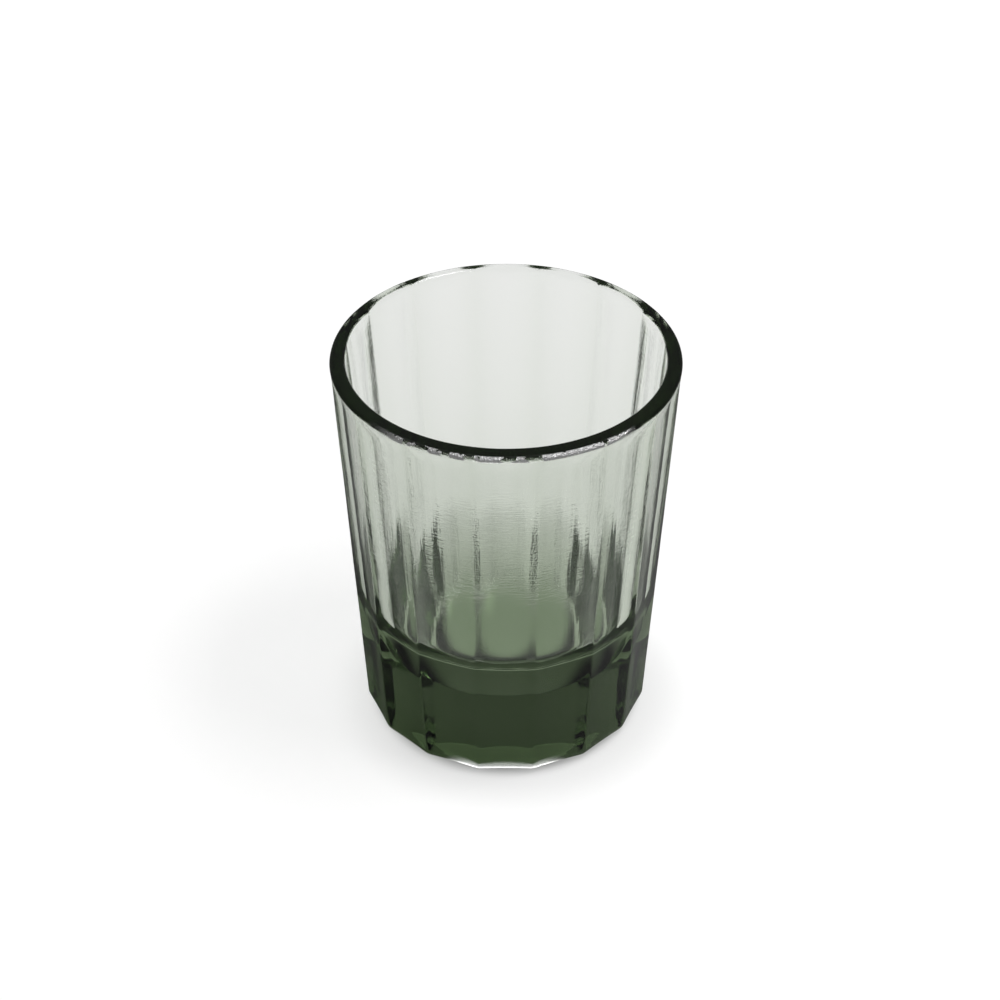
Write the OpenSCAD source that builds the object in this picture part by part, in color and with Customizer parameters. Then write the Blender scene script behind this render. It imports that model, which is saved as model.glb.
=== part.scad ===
// Fluted chai glass: one piece of pressed glass with a heavy solid base.
// The origin is on the table under the middle of the foot, with +Z up.
// A flute faces the front, which is -Y.

/* [Body] */
// Height from the table to the top of the lip
height = 85; // [70:1:110]
// Outside diameter at the widest point of the lip
rim_d = 70; // [60:1:85]
// Diameter of the foot across two opposite ridges, before its edge is rounded
foot_d = 60; // [50:1:70]
// Radius that rounds the bottom edge of the foot
foot_round = 3; // [0.5:0.25:4]

/* [Lip] */
// Thickness of the wall at the lip
lip_wall = 3.1; // [2.6:0.1:5]
// Radius that softens the outer edge of the flat lip
lip_outer_round = 0.7; // [0.2:0.1:1.2]
// Radius that softens the inner edge of the flat lip
lip_inner_round = 0.8; // [0.2:0.1:1.2]

/* [Cavity] */
// Thickness of the solid glass under the cavity
base_thickness = 16; // [8:0.5:20]
// Diameter of the flat floor of the cavity
floor_d = 32; // [16:0.5:36]
// Radius between the floor and the slope around it
floor_round = 2; // [1:0.5:5]
// Height at which the straight wall of the cavity starts to bend in
slope_top = 32.5; // [29:0.5:45]
// Radius of that bend
slope_round = 10; // [3:0.5:12]
// Thickness of the wall at the top of the bend, measured to a ridge
slope_wall = 4.5; // [4:0.1:8]

/* [Flutes] */
// Number of flutes around the glass
flute_count = 16; // [14:1:24]
// Radius of the hollow across each flute
flute_radius = 70; // [40:1:120]
// Width of the plain ridge left between two flutes
ridge_width = 0.7; // [0.4:0.1:3]
// Distance from the top of the lip down to the tips of the flutes
flute_stop = 0.1; // [0.1:0.1:6]
// Length over which a flute fades out below its tip
flute_runout = 3.6; // [1:0.1:8]

/* [Underside] */
// Width of the flat ring that the glass stands on
foot_ring = 6; // [3:0.5:10]
// Depth of the hollow inside that ring
hollow_depth = 0.4; // [0.2:0.1:2]

/* [Hidden] */
$fn = 96;

// Number of straight steps along each rounded edge of the section
arc_steps = 8;
// How far a cutter runs past the surface that it opens
overcut = 5;
// Angle that a flute cutter runs past the edge of its flute, on each side
sector_margin = 0.3;

// Centres of the arcs that round the foot and the two edges of the lip, as [radius, height]
foot_centre = [foot_d / 2 - foot_round, foot_round];
lip_outer_centre = [rim_d / 2 - lip_outer_round, height - lip_outer_round];
lip_inner_centre = [rim_d / 2 - lip_wall + lip_inner_round, height - lip_inner_round];

// Direction of the normal of a straight line that touches two circles on its left.
// A negative radius puts that circle on the right of the line.
function tangent_angle(c1, r1, c2, r2) =
    atan2(c2[1] - c1[1], c2[0] - c1[0]) - acos((r1 - r2) / norm(c2 - c1));

// Point of a circle in a given direction
function on_circle(c, r, angle) = c + r * [cos(angle), sin(angle)];

// Points along an arc, from one direction to another
function arc(c, r, from, to) =
    [for (i = [0 : arc_steps]) on_circle(c, r, from + (to - from) * i / arc_steps)];

// Outer wall: the straight line through the ridges, from foot to lip
outer_angle = tangent_angle(foot_centre, foot_round, lip_outer_centre, lip_outer_round);
outer_low = on_circle(foot_centre, foot_round, outer_angle);

// Radius of the ridges at a height
function ridge_radius(z) = outer_low[0] - (z - outer_low[1]) * tan(outer_angle);

// Cavity: a straight wall from the lip to a bend, then a slope to a small corner and a flat floor
bend_centre = [ridge_radius(slope_top) - slope_wall - slope_round, slope_top];
floor_centre = [floor_d / 2, base_thickness + floor_round];
inner_angle = tangent_angle(bend_centre, slope_round, lip_inner_centre, -lip_inner_round);
slope_angle = tangent_angle(floor_centre, floor_round, bend_centre, slope_round);

// Half of a flute's angle at a height, with its share of the ridges left out
function flute_half_angle(z) =
    180 / flute_count - (ridge_width / 2 / ridge_radius(z)) * 180 / PI;

// Half of a flute's width at a height
function flute_half_width(z) = ridge_radius(z) * sin(flute_half_angle(z));

// Depth of a flute below the ridges at a height
function flute_depth(z) =
    ridge_radius(z) * (1 - cos(flute_half_angle(z)))
    + flute_radius - sqrt(flute_radius ^ 2 - flute_half_width(z) ^ 2);

// Distance from the axis of the glass to the deepest line of a flute at a height
function flute_bottom(z) = ridge_radius(z) - flute_depth(z);

// A flute's own axis leans out with the wall, up to where the flute starts to fade
flute_full_top = height - flute_stop - flute_runout;
flute_lean = atan2(flute_bottom(flute_full_top) - flute_bottom(0), flute_full_top);
flute_axis = flute_bottom(0) + flute_radius / cos(flute_lean);
fade_depth = 2 * flute_depth(flute_full_top);
fade_length = 2 * flute_runout;
flute_sector = 2 * (asin(flute_half_width(flute_full_top) / flute_radius) + sector_margin);

// Place along a flute's own axis that is level with a height on its deepest line
function along_flute(z) = (z - flute_radius * sin(flute_lean)) / cos(flute_lean);

// Sphere that hollows the underside inside the standing ring
hollow_r = foot_centre[0] - foot_ring;
hollow_sphere_r = (hollow_r ^ 2 + hollow_depth ^ 2) / (2 * hollow_depth);

// Half of the cross-section of the glass, to the right of its axis
module wall_section() {
    polygon(concat(
        [[0, 0]],
        arc(foot_centre, foot_round, -90, outer_angle),
        arc(lip_outer_centre, lip_outer_round, outer_angle, 90),
        arc(lip_inner_centre, lip_inner_round, 90, 180 + inner_angle),
        arc(bend_centre, slope_round, inner_angle, slope_angle),
        arc(floor_centre, floor_round, slope_angle, -90),
        [[0, base_thickness]]
    ));
}

// One flute: a long shallow hollow that fades out at the lip.
// Only the sector of it that meets the glass is drawn.
module flute_cutter() {
    translate([flute_axis, 0, 0])
    rotate([0, flute_lean, 0])
    rotate([0, 0, 180 - flute_sector / 2])
    rotate_extrude(angle = flute_sector)
    polygon([
        [flute_radius - fade_depth - overcut, along_flute(-overcut)],
        [flute_radius, along_flute(-overcut)],
        [flute_radius, along_flute(flute_full_top)],
        [flute_radius - fade_depth, along_flute(flute_full_top + fade_length)],
        [flute_radius - fade_depth - overcut, along_flute(flute_full_top + fade_length)]
    ]);
}

// The whole glass, pressed as one piece
module tumbler() {
    color([0.45, 0.52, 0.44])
    difference() {
        rotate_extrude() wall_section();
        for (i = [0 : flute_count - 1])
            rotate([0, 0, i * 360 / flute_count - 90]) flute_cutter();
        translate([0, 0, hollow_depth - hollow_sphere_r])
        sphere(r = hollow_sphere_r);
    }
}

tumbler();
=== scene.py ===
# %% [markdown]
# # A fluted chai glass
# The object is one piece of smoky green glass, pressed in a mould: a nearly flat lip with softened edges,
# a wall with shallow upright flutes and a heavy solid base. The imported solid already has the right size
# and place, so it is loaded first and everything below is measured in its frame.

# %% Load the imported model
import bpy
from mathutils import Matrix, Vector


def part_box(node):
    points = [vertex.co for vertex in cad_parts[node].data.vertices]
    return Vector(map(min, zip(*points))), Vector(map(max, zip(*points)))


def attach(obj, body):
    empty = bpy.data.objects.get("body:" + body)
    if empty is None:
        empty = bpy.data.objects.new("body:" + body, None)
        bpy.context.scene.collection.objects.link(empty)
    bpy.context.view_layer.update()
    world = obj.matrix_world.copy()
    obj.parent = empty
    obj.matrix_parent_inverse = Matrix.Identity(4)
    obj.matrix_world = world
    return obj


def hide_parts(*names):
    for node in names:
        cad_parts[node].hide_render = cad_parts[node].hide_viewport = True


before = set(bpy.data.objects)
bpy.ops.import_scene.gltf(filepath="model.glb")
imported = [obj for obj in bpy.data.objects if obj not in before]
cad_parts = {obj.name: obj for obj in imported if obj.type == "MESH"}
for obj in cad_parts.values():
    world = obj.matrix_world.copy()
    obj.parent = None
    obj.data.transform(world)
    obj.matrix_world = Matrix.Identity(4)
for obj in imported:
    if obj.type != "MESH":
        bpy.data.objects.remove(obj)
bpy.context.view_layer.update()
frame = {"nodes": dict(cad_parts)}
print("packed nodes:", ", ".join(frame["nodes"]))

# %% Modules
import math

import bmesh
import bpy
from mathutils import Vector, noise

print(f"Blender {bpy.app.version_string}")

# %% [markdown]
# ## Sizes
# A turned glass is drawn as half of its cross-section. The height is read from the solid's box. The other
# sizes are the ones that the solid's section was built with, in metres. They could be measured from the
# solid's mesh too, but sizes with names can be read and understood.

# %% Sizes of the section
MM = 0.001
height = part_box("tumbler")[1].z
rim_radius = 35 * MM
foot_radius = 30 * MM
foot_round = 3 * MM
lip_wall = 3.1 * MM
lip_outer_round = 0.7 * MM
lip_inner_round = 0.8 * MM
base_thickness = 16 * MM
floor_radius = 16 * MM
floor_round = 2 * MM
slope_top = 32.5 * MM
slope_round = 10 * MM
slope_wall = 4.5 * MM
foot_ring = 6 * MM
hollow_depth = 0.4 * MM
print(f"glass {height / MM:.1f} mm tall, rim {2 * rim_radius / MM:.1f} mm across")

# %% [markdown]
# ## The cross-section
# The section is a few arcs joined by straight lines: the foot edge, the two edges of the lip, the bend of
# the cavity and the corner of its floor. A smooth curve through a few points could follow it too, but it
# would swell between them. Here each straight line touches two arcs, and its direction is worked out from
# their centres, as it would be drawn on paper. That leaves no kink to show in the glass.

# %% Arcs and tangent lines
down = math.radians(-90)
up = math.radians(90)


def tangent_angle(centre_1, radius_1, centre_2, radius_2):
    """Direction of the normal of a line that touches two circles on its left.

    A negative radius puts that circle on the right of the line.
    """
    run = centre_2 - centre_1
    return math.atan2(run.y, run.x) - math.acos((radius_1 - radius_2) / run.length)


def arc(centre, radius, start, end, steps):
    """Points along an arc of the section, as (radius, height)."""
    angles = [start + (end - start) * i / steps for i in range(steps + 1)]
    return [centre + radius * Vector((math.cos(a), math.sin(a))) for a in angles]


# %% Outer wall of the section
foot_centre = Vector((foot_radius - foot_round, foot_round))
lip_outer_centre = Vector((rim_radius - lip_outer_round, height - lip_outer_round))
outer_angle = tangent_angle(foot_centre, foot_round, lip_outer_centre, lip_outer_round)
foot_arc = arc(foot_centre, foot_round, down, outer_angle, steps=10)
lip_outer_arc = arc(lip_outer_centre, lip_outer_round, outer_angle, up, steps=8)


def ridge_radius(z):
    """Radius of the ridges between the flutes at a height."""
    return foot_arc[-1].x - (z - foot_arc[-1].y) * math.tan(outer_angle)


print(f"outer wall leans {-math.degrees(outer_angle):.1f} degrees")

# %% Cavity of the section
lip_inner_centre = Vector((rim_radius - lip_wall + lip_inner_round, height - lip_inner_round))
bend_centre = Vector((ridge_radius(slope_top) - slope_wall - slope_round, slope_top))
floor_centre = Vector((floor_radius, base_thickness + floor_round))
inner_angle = tangent_angle(bend_centre, slope_round, lip_inner_centre, -lip_inner_round)
slope_angle = tangent_angle(floor_centre, floor_round, bend_centre, slope_round)
lip_inner_arc = arc(lip_inner_centre, lip_inner_round, up, math.pi + inner_angle, steps=14)
bend_arc = arc(bend_centre, slope_round, inner_angle, slope_angle, steps=12)
floor_arc = arc(floor_centre, floor_round, slope_angle, down, steps=8)
floor_middle = [Vector((0, base_thickness))]
print(f"inner wall leans {-math.degrees(inner_angle):.1f} degrees")

# %% Hollow under the base
hollow_radius = foot_centre.x - foot_ring
hollow_steps = 8
hollow_arc = [
    Vector((hollow_radius * i / hollow_steps, hollow_depth * (1 - (i / hollow_steps) ** 2)))
    for i in range(hollow_steps + 1)
]
print(f"hollow {2 * hollow_radius / MM:.0f} mm across, {hollow_depth / MM:.1f} mm deep")

# %% [markdown]
# ## Turning the section
# The glass is round, apart from its flutes, so the outline is turned about the axis. A screw modifier could
# do that too, but the spin operator gives real vertices that can be moved afterwards. The long straight
# stretches are cut into short rows first, so that the wall can take the slight waves of pressed glass. A
# number on each vertex marks the outside, where the flutes go.

# %% Draw the outline
row_height = 1.1 * MM
body = bmesh.new()
outside_mark = body.verts.layers.float.new("outside")


def add_outline(points, mark):
    """Vertices of one stretch of the outline, marked as outside or not."""
    verts = []
    for point in points:
        vert = body.verts.new((point.x, 0, point.y))
        vert[outside_mark] = mark
        verts.append(vert)
    return verts


under = add_outline(hollow_arc, 0)
outer = add_outline(foot_arc + lip_outer_arc, 1)
inner = add_outline(lip_inner_arc + bend_arc + floor_arc + floor_middle, 0)
loop = under + outer + inner
edges = [body.edges.new(pair) for pair in zip(loop, loop[1:])]
for edge in edges:
    cuts = int(edge.calc_length() / row_height)
    if cuts:
        bmesh.ops.subdivide_edges(body, edges=[edge], cuts=cuts)
print(f"outline of {len(loop)} points, cut into {len(body.edges)} short edges")

# %% Spin the outline into a body
flute_count = 16
steps_per_flute = 24
merge_distance = 0.001 * MM
bmesh.ops.spin(
    body, geom=body.verts[:] + body.edges[:], cent=(0, 0, 0), axis=(0, 0, 1),
    angle=2 * math.pi, steps=flute_count * steps_per_flute, use_merge=True,
)
bmesh.ops.remove_doubles(body, verts=body.verts, dist=merge_distance)
bmesh.ops.recalc_face_normals(body, faces=body.faces)
print(f"turned body of {len(body.faces)} faces")

# %% [markdown]
# ## Flutes
# On the real glass the flutes are shallow hollows that meet in sharp ridges, and they end steeply just
# below the lip. Cutting them with booleans would leave long thin triangles that show as scratches in clear
# glass. Moving the outer vertices inwards by a formula keeps clean rows of quads, and it lets the rounded
# foot edge follow the flutes as it does on the real one. The hollows are a little flatter than the solid's
# and the ridges finer, because that is how they bend what shows through the wall in the photograph.

# %% Depth of a flute
flute_radius = 140 * MM
ridge_width = 0.4 * MM
half_pitch = math.pi / flute_count


def flute_depth(z):
    """Depth of a flute below the ridges, where it reaches from ridge to ridge."""
    radius = ridge_radius(z)
    half_angle = half_pitch - ridge_width / 2 / radius
    half_width = radius * math.sin(half_angle)
    return radius * (1 - math.cos(half_angle)) + flute_radius - math.sqrt(flute_radius**2 - half_width**2)


print(f"{flute_count} flutes, {flute_depth(0) / MM:.2f} mm deep at the foot")

# %% Outside of the fluted wall
ridge_softness = 0.07 * MM
flute_stop = 0.7 * MM
flute_runout = 2.6 * MM
flute_full_top = height - flute_stop - flute_runout
# A power of 1 would end a flute in a straight ramp, and a smaller one ends it more steeply
fade_power = 0.5


def soft_minimum(a, b, softness):
    """The smaller of two lengths, with the change from one to the other rounded off."""
    smaller = min(a, b)
    return smaller - softness * math.log1p(math.exp((smaller - max(a, b)) / softness))


def fluted_radius(turn, z):
    """Radius of the outside at an angle from the middle of a flute."""
    ridge = ridge_radius(z)
    axis_radius = ridge - flute_depth(min(z, flute_full_top)) + flute_radius
    hollow = axis_radius * math.cos(turn) - math.sqrt(flute_radius**2 - (axis_radius * math.sin(turn)) ** 2)
    pressed = ridge - soft_minimum(hollow, ridge, ridge_softness)
    left = min(1, max(0, (height - flute_stop - z) / flute_runout))
    return ridge - pressed * left**fade_power


print(f"flutes end {flute_stop / MM:.1f} mm below the top of the lip")

# %% Press the flutes
# Vertices crowd towards the ridges, where the surface turns most
ridge_crowding = 0.6
for vert in body.verts:
    radius = math.hypot(vert.co.x, vert.co.y)
    around = math.atan2(vert.co.y, vert.co.x) + math.pi / 2
    middle = round(around / (2 * half_pitch)) * 2 * half_pitch
    share = (around - middle) / half_pitch
    turn = half_pitch * (share + ridge_crowding * math.sin(math.pi * share) / math.pi)
    if vert[outside_mark] > 0.5:
        level = max(vert.co.z, 0)
        radius -= ridge_radius(level) - fluted_radius(turn, level)
    angle = middle + turn - math.pi / 2
    vert.co.x = radius * math.cos(angle)
    vert.co.y = radius * math.sin(angle)
print(f"pressed flutes with {steps_per_flute} columns of faces each")

# %% [markdown]
# ## A plunger off its centre
# The cavity of a pressed glass is made by a plunger, and it is seldom quite central: in the photograph the
# lip is thicker at the front than at the back. The cavity could be tilted as a separate body, but then the
# two halves of the lip would have to be joined again. Sliding the inner vertices backwards, more and more
# towards the lip, keeps one closed skin, and the floor stays where it is.

# %% Let the cavity drift
plunger_drift = 0.9 * MM
for vert in body.verts:
    share_up = max(0, (vert.co.z - base_thickness) / (height - base_thickness))
    vert.co.y += plunger_drift * share_up * (1 - vert[outside_mark])
print(f"cavity {plunger_drift / MM:.1f} mm to the back at the lip")

# %% [markdown]
# ## Waves of pressed glass
# Pressed glass is never quite true: it chills against the mould and its wall comes out slightly wavy.
# That bends what is seen through it. A bump in the material would be cheaper, but the wave is broad enough
# for the mesh to carry it. A smooth noise moves each vertex by a few hundredths of a millimetre, and leaves
# the foot ring alone so that the glass stands flat.

# %% Waviness
wave_height = 0.03 * MM
wave_length = 7 * MM
body.normal_update()
for vert in body.verts:
    if vert.co.z > foot_round:
        wave = noise.noise(vert.co / wave_length)
        vert.co += vert.normal * wave * wave_height
body.normal_update()
print(f"waves up to {wave_height / MM:.2f} mm high and about {wave_length / MM:.0f} mm long")

# %% The glass as an object
glass_mesh = bpy.data.meshes.new("pressed_glass")
body.to_mesh(glass_mesh)
body.free()
for face in glass_mesh.polygons:
    face.use_smooth = True
glass = bpy.data.objects.new("pressed_glass", glass_mesh)
bpy.context.scene.collection.objects.link(glass)
print(f"pressed glass of {len(glass_mesh.polygons)} faces")

# %% [markdown]
# ## Shader maths
# Node links are easier to read as sums. They could be added one by one, as in the editor, but a long list
# of links hides what is worked out. One small class wraps a socket, so that adding or multiplying two of
# them adds the Math node, and one method makes every other node.

# %% A socket that can be added and multiplied


class Wire:
    """One output socket of a node tree."""

    def __init__(self, tree, socket):
        self.tree = tree
        self.socket = socket

    @staticmethod
    def node(tree, kind, settings=None, inputs=None, output=0):
        """Adds a node, sets it up, fills or links its sockets, and wraps one output."""
        made = tree.nodes.new(kind)
        for name, value in (settings or {}).items():
            setattr(made, name, value)
        for name, value in (inputs or {}).items():
            if isinstance(value, Wire):
                tree.links.new(value.socket, made.inputs[name])
            else:
                made.inputs[name].default_value = value
        return Wire(tree, made.outputs[output])

    def sibling(self, output):
        """Another output of the same node."""
        return Wire(self.tree, self.socket.node.outputs[output])

    def math(self, operation, first, second):
        return Wire.node(self.tree, "ShaderNodeMath", {"operation": operation}, {0: first, 1: second})

    def __add__(self, other):
        return self.math("ADD", self, other)

    def __radd__(self, other):
        return self.math("ADD", other, self)

    def __sub__(self, other):
        return self.math("SUBTRACT", self, other)

    def __rsub__(self, other):
        return self.math("SUBTRACT", other, self)

    def __mul__(self, other):
        return self.math("MULTIPLY", self, other)

    def __rmul__(self, other):
        return self.math("MULTIPLY", other, self)

    def larger(self, other):
        return self.math("MAXIMUM", self, other)

    def root(self):
        return self.math("SQRT", self, 0)


# %% Fades and the end of a tree


def fade(value, start, end, top=1):
    """A smooth change from 0 at one value to the top at another."""
    return Wire.node(
        value.tree, "ShaderNodeMapRange", {"interpolation_type": "SMOOTHSTEP"},
        {"Value": value, "From Min": start, "From Max": end, "To Max": top},
    )


def close_tree(tree, kind, shaders):
    """Adds the output node that ends a tree and links its shaders."""
    end = tree.nodes.new(kind)
    for name, wire in shaders.items():
        tree.links.new(wire.socket, end.inputs[name])
    print(f"{kind} ends a tree of {len(tree.nodes)} nodes")


# %% [markdown]
# ## Smoky green glass
# The colour of this glass is in its depth: the thin wall is nearly clear and the thick base is almost
# black green. A tinted surface can't do that, so the surface stays clear and the inside absorbs light. The
# material reads the place on the glass itself, so its marks stay put from every side.

# %% Places on the glass
smoky = bpy.data.materials.new("smoky_green_glass")
smoky.use_nodes = True
glass_tree = smoky.node_tree
glass_tree.nodes.clear()
place = Wire.node(glass_tree, "ShaderNodeTexCoord", output="Object")
across = Wire.node(glass_tree, "ShaderNodeSeparateXYZ", None, {0: place}, "X")
along = across.sibling("Y")
height_up = across.sibling("Z")
from_axis = (across * across + along * along).root()


def grain(cells_across, cells_up, detail):
    """Noise with a number of cells per metre across and up the glass."""
    stretch = Wire.node(
        glass_tree, "ShaderNodeMapping", {"vector_type": "POINT"},
        {"Vector": place, "Scale": (cells_across, cells_across, cells_up)},
    )
    return Wire.node(
        glass_tree, "ShaderNodeTexNoise", {"noise_dimensions": "3D"},
        {"Vector": stretch, "Scale": 1, "Detail": detail, "Roughness": 0.5}, "Fac",
    )


print(f"{len(glass_tree.nodes)} nodes find a place on the glass")

# %% [markdown]
# ## Seam of the lip
# Where the mould and its top ring met, a thin rough line runs along the outer edge of the lip. It glints
# white in patches at the front. Modelling its roughness would take more faces than the rest of the glass.
# So the line is a thin ring around the edge, broken up by noise, where the skin turns rough and mirrors
# like metal, because clear glass would stay dark there.

# %% Seam
seam_inset = 0.3 * MM
seam_drop = 0.4 * MM
seam_edge = 0.75 * MM
seam_core = 0.55 * MM
seam_end = -22 * MM
seam_full = -30 * MM
patch_start = 0.44
patch_full = 0.5

out_of_seam = from_axis - (rim_radius - seam_inset)
above_seam = height_up - (height - seam_drop)
from_seam = (out_of_seam * out_of_seam + above_seam * above_seam).root()
seam_place = fade(from_seam, seam_edge, seam_core) * fade(along, seam_end, seam_full)
patches = grain(cells_across=330, cells_up=330, detail=3)
seam = seam_place * fade(patches, patch_start, patch_full)
print(f"seam {2 * seam_core / MM:.1f} mm wide around the front edge of the lip")

# %% [markdown]
# ## Marks of the mould
# The skin of pressed glass has fine marks: short level ripples where it chilled, long upright draw lines,
# and tiny pits that are deepest along the ridges. The faces of the mesh are too coarse for them, so they
# are a bump, made of noise that is stretched along each kind of mark. The base is left smooth.

# %% Ridges and the upper wall
half_flute = 0.5
ridge_start = 0.72
ridge_full = 0.98
marks_start = 25 * MM
marks_full = 45 * MM

flutes_around = across.math("ARCTAN2", across, along) * (flute_count / (2 * math.pi))
to_ridge = flutes_around.math("PINGPONG", flutes_around, half_flute) * (1 / half_flute)
ridge_near = fade(to_ridge, ridge_start, ridge_full)
upper_wall = fade(height_up, marks_start, marks_full)
outside_near = Wire.node(glass_tree, "ShaderNodeAttribute", {"attribute_name": "outside"}, output="Fac")
print(f"marks from {marks_start / MM:.0f} mm up, full at {marks_full / MM:.0f} mm")

# %% Bump of the skin
mark_height = 0.06 * MM
ripple_share = 0.3
line_share = 0.5
wall_pits = 0.1
ridge_pits = 0.4
seam_pits = 5

ripples = grain(cells_across=350, cells_up=3200, detail=2)
draw_lines = grain(cells_across=1100, cells_up=50, detail=2)
pits = grain(cells_across=3000, cells_up=3000, detail=1)
pit_share = outside_near * (wall_pits + ridge_pits * ridge_near) + seam_pits * seam_place
relief = upper_wall * (ripple_share * ripples + line_share * draw_lines + pit_share * pits)
skin = Wire.node(
    glass_tree, "ShaderNodeBump", None,
    {"Strength": 1, "Distance": mark_height, "Height": relief}, "Normal",
)
print(f"bump of {mark_height / MM:.2f} mm")

# %% [markdown]
# ## Clear skin, smoky depth
# The skin is nearly polished, with a trace of haze that varies over the glass, and dull only at the seam.
# The smoke is a volume that absorbs light evenly, so the base darkens by its thickness alone, and nothing
# has to be painted.

# %% Skin and smoke
glass_ior = 1.49
smoke_colour = (0.4, 0.5, 0.32, 1)
smoke_density = 74
haze = 0.03
seam_roughness = 0.5

dullness = haze * grain(cells_across=120, cells_up=60, detail=2) + seam_roughness * seam
surface = Wire.node(
    glass_tree, "ShaderNodeBsdfPrincipled", None,
    {
        "Base Color": (1, 1, 1, 1), "Roughness": dullness, "IOR": glass_ior,
        "Transmission Weight": 1, "Metallic": seam, "Normal": skin,
    },
)
smoke = Wire.node(
    glass_tree, "ShaderNodeVolumeAbsorption", None, {"Color": smoke_colour, "Density": smoke_density},
)
close_tree(glass_tree, "ShaderNodeOutputMaterial", {"Surface": surface, "Volume": smoke})
glass_mesh.materials.append(smoky)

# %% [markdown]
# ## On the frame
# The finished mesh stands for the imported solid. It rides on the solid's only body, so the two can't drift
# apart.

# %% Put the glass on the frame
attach(glass, "root")
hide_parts("tumbler")
print(f"{glass.name} stands for the tumbler")

# %% [markdown]
# ## Table
# Clear glass shows little but its surroundings, so the table is part of its look: white paper with a soft
# shadow close to the foot. A white sheet under a lamp could give that, but the light that glass bends onto
# paper takes a great many samples. So the paper glows evenly, and the shadow, the dark ring under the foot
# and the green light that came down through the base are smooth patches painted on it.

# %% Sheet of paper
table_size = 2.4
table_gap = 0.05 * MM

table_mesh = bpy.data.meshes.new("table")
sheet = bmesh.new()
bmesh.ops.create_grid(sheet, x_segments=1, y_segments=1, size=table_size / 2)
bmesh.ops.translate(sheet, verts=sheet.verts, vec=(0, 0, -table_gap))
sheet.to_mesh(table_mesh)
sheet.free()
table = bpy.data.objects.new("table", table_mesh)
bpy.context.scene.collection.objects.link(table)
print(f"table {table_size} m wide")

# %% Kinds of rays and places on the paper
paper = bpy.data.materials.new("white_paper")
paper.use_nodes = True
paper_tree = paper.node_tree
paper_tree.nodes.clear()
seen = Wire.node(paper_tree, "ShaderNodeLightPath", output="Is Camera Ray")
through = seen.sibling("Is Transmission Ray")
# A ray that went through glass counts as glossy too, so it is taken off
mirrored = seen.sibling("Is Glossy Ray") - through
spot = Wire.node(paper_tree, "ShaderNodeTexCoord", output="Object")


def patch(middle, start, end, top=1, squeeze=1):
    """A round change from 0 to the top, between two distances from its middle, in millimetres.

    A squeeze below 1 makes the patch wider than it is deep.
    """
    squeezed = Wire.node(
        paper_tree, "ShaderNodeVectorMath", {"operation": "MULTIPLY"},
        {0: spot, 1: (squeeze, 1, 1)}, "Vector",
    )
    squeezed_middle = (squeeze * middle[0] * MM, middle[1] * MM, 0)
    distance = Wire.node(
        paper_tree, "ShaderNodeVectorMath", {"operation": "DISTANCE"},
        {0: squeezed, 1: squeezed_middle}, "Value",
    )
    return fade(distance, start * MM, end * MM, top)


print(f"{paper.name} tells apart the rays that are seen, mirrored or through glass")

# %% [markdown]
# ## Shadow and light on the paper
# Around the foot the paper darkens quickly, with a weak tail that reaches further to the front. Under the
# foot it is dark, as seen through the base, apart from a pale green patch and a strip at the front. A thin
# bright ring gives the white glint along the front edge of the foot, which only mirrored rays can see.

# %% Patches
near_shadow = patch(middle=(0, -1.5), start=23, end=30, top=0.8)
far_shadow = patch(middle=(2, -3), start=25, end=42, top=0.2)
open_table = near_shadow + far_shadow
# Painted shade under the foot and a little behind it, for rays that came through the glass
clear_of_ring = patch(middle=(0, 0), start=25.5, end=27.5)
clear_of_shade = patch(middle=(-1, -5), start=22, end=33)
painted_shade_behind_foot = patch(middle=(0, 37), start=18, end=10, top=0.12)
clear_of_foot = clear_of_ring.larger(clear_of_shade) * (1 - painted_shade_behind_foot)
# Painted reflection: a bright ring on the paper in front of the foot, seen only in mirrors, for the white
# glint on its edge
glint_ring = patch(middle=(0, 0), start=32.4, end=31.2) * patch(middle=(0, -30), start=14, end=8)
# Painted light: a pale green pool under the back of the foot and a strip under its front
lit_patch = patch(middle=(0.8, 12.5), start=16, end=10.5, top=0.7, squeeze=0.9)
to_the_back = Wire.node(paper_tree, "ShaderNodeSeparateXYZ", None, {0: spot}, "Y")
front_strip = fade(to_the_back, start=-1 * MM, end=-12 * MM, top=0.28)
# The far table glows a little more, up to the white of the backdrop
far_table = patch(middle=(0, 0), start=100, end=500, top=0.2)
print(f"{len(paper_tree.nodes)} nodes in the patches")

# %% Glow and paper
seen_glow = 0.82
through_glow = 0.67
glint_glow = 5
table_paper = (0.5, 0.5, 0.5, 1)
# Painted shade: the paper's colour under the foot and where the painted shadow is full
painted_shade_under_foot = (0.02, 0.02, 0.02, 1)
light_through_base = (0.86, 1, 0.78, 1)

white = seen * (seen_glow * open_table + far_table)
white = white + through_glow * through * clear_of_foot + glint_glow * glint_ring * mirrored
green = through_glow * through * (lit_patch + front_strip) * (1 - clear_of_foot)
glow_white = Wire.node(paper_tree, "ShaderNodeEmission", None, {"Color": (1, 1, 1, 1), "Strength": white})
glow_green = Wire.node(
    paper_tree, "ShaderNodeEmission", None, {"Color": light_through_base, "Strength": green},
)
glow = Wire.node(paper_tree, "ShaderNodeAddShader", None, {0: glow_white, 1: glow_green})
# Painted shade: the paper's colour darkens from grey to near black with the painted shadow around and under
# the foot
# A Mix node keeps its colours in sockets 6 and 7, and gives the mixed colour in output 2
shaded_paper = Wire.node(
    paper_tree, "ShaderNodeMix", {"data_type": "RGBA"},
    {0: open_table, 6: painted_shade_under_foot, 7: table_paper}, 2,
)
matt = Wire.node(paper_tree, "ShaderNodeBsdfDiffuse", None, {"Color": shaded_paper})
glowing_paper = Wire.node(paper_tree, "ShaderNodeAddShader", None, {0: glow, 1: matt})
close_tree(paper_tree, "ShaderNodeOutputMaterial", {"Surface": glowing_paper})
table_mesh.materials.append(paper)

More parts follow.
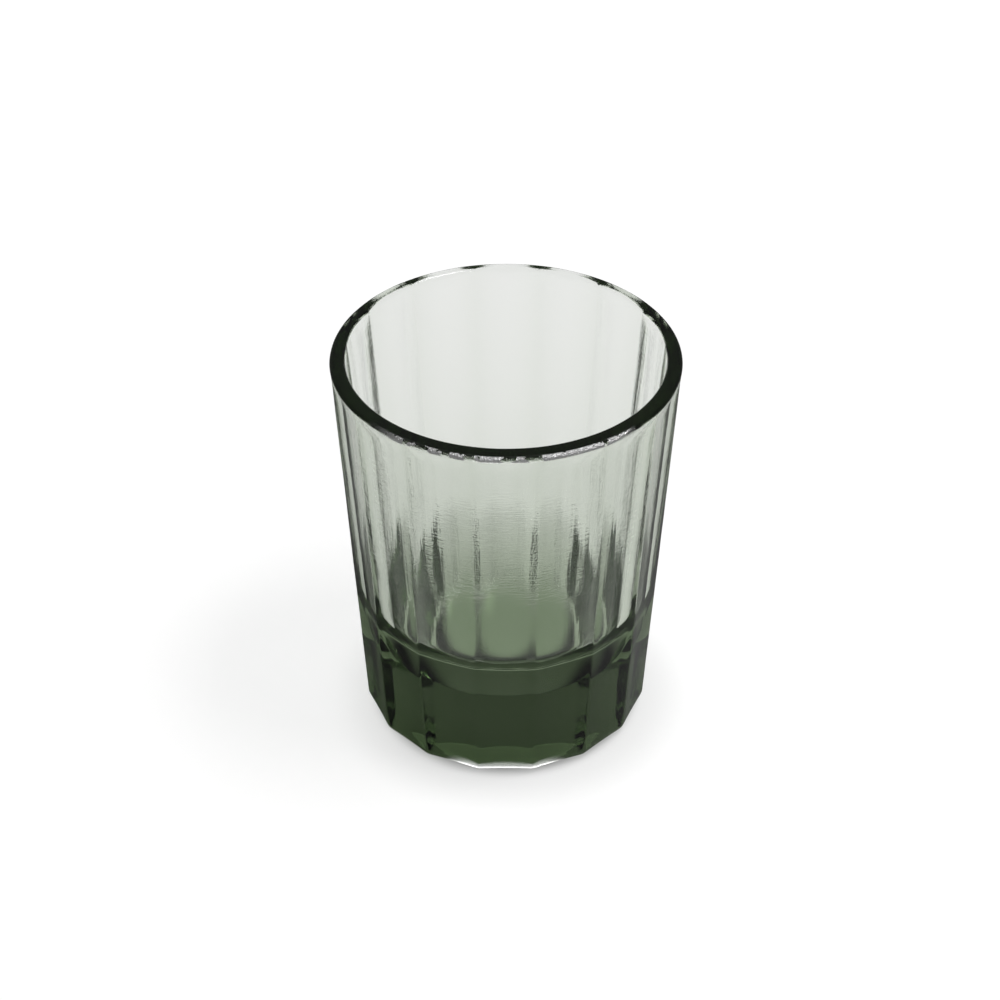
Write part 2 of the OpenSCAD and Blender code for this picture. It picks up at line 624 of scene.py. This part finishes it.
# %% [markdown]
# ## Room
# The dark edges of the glass mirror a dim room, while its wall lets a brighter one through, which is nearly
# white behind it. Black and white cards around the glass would do that in a studio. Here one even world is
# told apart by the kind of ray, which looks the same from every side: white where it is seen, dim where it
# is mirrored, and brighter through the glass, most of all near the horizon.

# %% World
room_light = 0.13
room_through_glass = 0.43
horizon_white = 0.9
horizon_start = 0.4
horizon_full = 0.15

room = bpy.data.worlds.new("studio_room")
bpy.context.scene.world = room
room.use_nodes = True
room_tree = room.node_tree
room_tree.nodes.clear()
room_seen = Wire.node(room_tree, "ShaderNodeLightPath", output="Is Camera Ray")
room_through = room_seen.sibling("Is Transmission Ray")
looking = Wire.node(room_tree, "ShaderNodeTexCoord", output="Generated")
rise = Wire.node(room_tree, "ShaderNodeSeparateXYZ", None, {0: looking}, "Z")
horizon = fade(rise, horizon_start, horizon_full, top=horizon_white - room_through_glass)
more_through_glass = (room_through_glass - room_light + horizon) * room_through
backdrop = Wire.node(
    room_tree, "ShaderNodeBackground", None,
    {"Color": (1, 1, 1, 1), "Strength": room_light + (1 - room_light) * room_seen + more_through_glass},
)
close_tree(room_tree, "ShaderNodeOutputWorld", {"Surface": backdrop})

# %% [markdown]
# ## Lamp
# The photograph has a faint shadow to the left, so one soft lamp hangs high up at the right. A sun would
# draw a hard shadow. A rectangular area lamp keeps it soft.

# %% Overhead lamp
lamp_place = Vector((0.3, -0.05, 0.8))
lamp_aim = Vector((0, 0, 0))
lamp_width = 0.3
lamp_depth = 0.2
lamp_watts = 2.5

lamp = bpy.data.lights.new("overhead", "AREA")
lamp.shape = "RECTANGLE"
lamp.size = lamp_width
lamp.size_y = lamp_depth
lamp.energy = lamp_watts
lamp_holder = bpy.data.objects.new("overhead", lamp)
bpy.context.scene.collection.objects.link(lamp_holder)
lamp_holder.location = lamp_place
lamp_holder.rotation_mode = "QUATERNION"
lamp_holder.rotation_quaternion = (lamp_aim - lamp_place).to_track_quat("-Z", "Y")
print(f"lamp of {lamp_watts} W, {(lamp_aim - lamp_place).length:.2f} m away")

# %% [markdown]
# ## Camera
# The photograph looks down at the glass by about 38 degrees from half a metre away. The lens gives the
# same size in a square picture. A shift of the lens could place the glass in the picture, but aiming the
# camera a little above the middle of the glass does the same and leaves nothing to upset other views.

# %% Camera
photo_side = 1000
focal_pixels = 2640
sensor_width = 36
nearest_seen = 0.01
view_elevation = math.radians(37.6)
view_distance = 0.55
view_middle = Vector((0, 0, 40 * MM))
middle_pixel = Vector((505.8, 535.7))

camera_data = bpy.data.cameras.new("photo_view")
camera_data.sensor_width = sensor_width
camera_data.lens = sensor_width * focal_pixels / photo_side
camera_data.clip_start = nearest_seen
camera = bpy.data.objects.new("photo_view", camera_data)
bpy.context.scene.collection.objects.link(camera)
bpy.context.scene.camera = camera
towards_eye = Vector((0, -math.cos(view_elevation), math.sin(view_elevation)))
picture_up = Vector((0, math.sin(view_elevation), math.cos(view_elevation)))
offset = (middle_pixel - Vector((photo_side / 2, photo_side / 2))) * view_distance / focal_pixels
aim = view_middle + picture_up * offset.y - Vector((offset.x, 0, 0))
camera.location = view_middle + towards_eye * view_distance
camera.rotation_mode = "QUATERNION"
camera.rotation_quaternion = (aim - camera.location).to_track_quat("-Z", "Y")
print(f"camera {view_distance} m away, lens {camera_data.lens:.0f} mm")

# %% [markdown]
# ## Light paths
# Light crosses the wall twice and can turn many times inside the base. With Blender's usual limit such
# paths end early and leave black spots, so they may go on for longer. The plain Standard view keeps white
# paper white.

# %% Light paths and colours
most_bounces = 32
scene = bpy.context.scene
scene.view_settings.view_transform = "Standard"
scene.cycles.max_bounces = most_bounces
scene.cycles.transmission_bounces = most_bounces
scene.cycles.glossy_bounces = most_bounces
print(f"up to {most_bounces} bounces")
